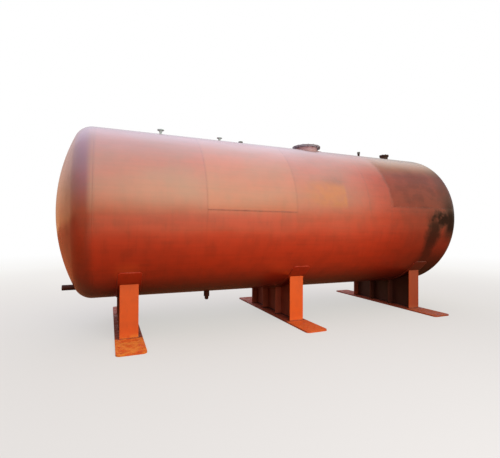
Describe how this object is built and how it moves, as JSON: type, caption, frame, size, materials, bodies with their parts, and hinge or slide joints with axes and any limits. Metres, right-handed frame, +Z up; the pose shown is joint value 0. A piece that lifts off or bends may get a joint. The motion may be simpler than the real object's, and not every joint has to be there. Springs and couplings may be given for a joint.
{
  "type": "horizontal pressure tank",
  "caption": "Horizontal welded steel pressure tank with dished ends on plate saddles, with a bolted manhole and small pipe fittings.",
  "frame": {"origin": "on the floor under the middle of the shell, at the bottom centre of the box", "axes": "+X along the shell towards the right head, +Y to the back, +Z up"},
  "size_m": [7.8452, 3.16, 3.495],
  "materials": {
    "shell_primer": "glossy red oxide primer",
    "saddle_primer": "satin orange red primer",
    "saddle_web_primer": "matt dark red primer",
    "manhole_steel": "matt grey purple primer",
    "gasket": "matt",
    "grey_fitting": "matt grey",
    "dark_fitting": "dark brown, rusty"
  },
  "bodies": {
    "root": {"crown_coupling": "dark_fitting", "crown_coupling_plug": "dark_fitting", "crown_pad": "dark_fitting", "drain_plug": "dark_fitting", "drain_socket": "dark_fitting", "gauge_nozzle_flange": "grey_fitting", "gauge_nozzle_pipe": "grey_fitting", "inlet_blind_flange": "dark_fitting", "inlet_nozzle_flange": "dark_fitting", "inlet_nozzle_pipe": "dark_fitting", "left_head": "shell_primer", "left_saddle_back_end_plate": "saddle_primer", "left_saddle_base_plate": "saddle_primer", "left_saddle_front_end_plate": "saddle_primer", "left_saddle_inner_ribs": "saddle_web_primer", "left_saddle_wear_plate": "shell_primer", "left_saddle_web": "saddle_web_primer", "manhole_cover": "manhole_steel", "manhole_flange": "manhole_steel", "manhole_gasket": "gasket", "manhole_neck": "shell_primer", "manhole_pad": "shell_primer", "middle_saddle_back_end_plate": "saddle_primer", "middle_saddle_base_plate": "saddle_primer", "middle_saddle_front_end_plate": "saddle_primer", "middle_saddle_inner_ribs": "saddle_web_primer", "middle_saddle_wear_plate": "shell_primer", "middle_saddle_web": "saddle_web_primer", "outlet_pipe": "dark_fitting", "right_head": "shell_primer", "right_saddle_back_end_plate": "saddle_primer", "right_saddle_base_plate": "saddle_primer", "right_saddle_front_end_plate": "saddle_primer", "right_saddle_inner_ribs": "saddle_web_primer", "right_saddle_wear_plate": "shell_primer", "right_saddle_web": "saddle_web_primer", "shell_course_1": "shell_primer", "shell_course_2": "shell_primer", "shell_course_3": "shell_primer", "shell_course_4": "shell_primer", "shell_course_5": "shell_primer", "stub_cap": "dark_fitting", "stub_pipe": "dark_fitting", "vent_nozzle_flange": "grey_fitting", "vent_nozzle_pipe": "grey_fitting"}
  },
  "joints": []
}
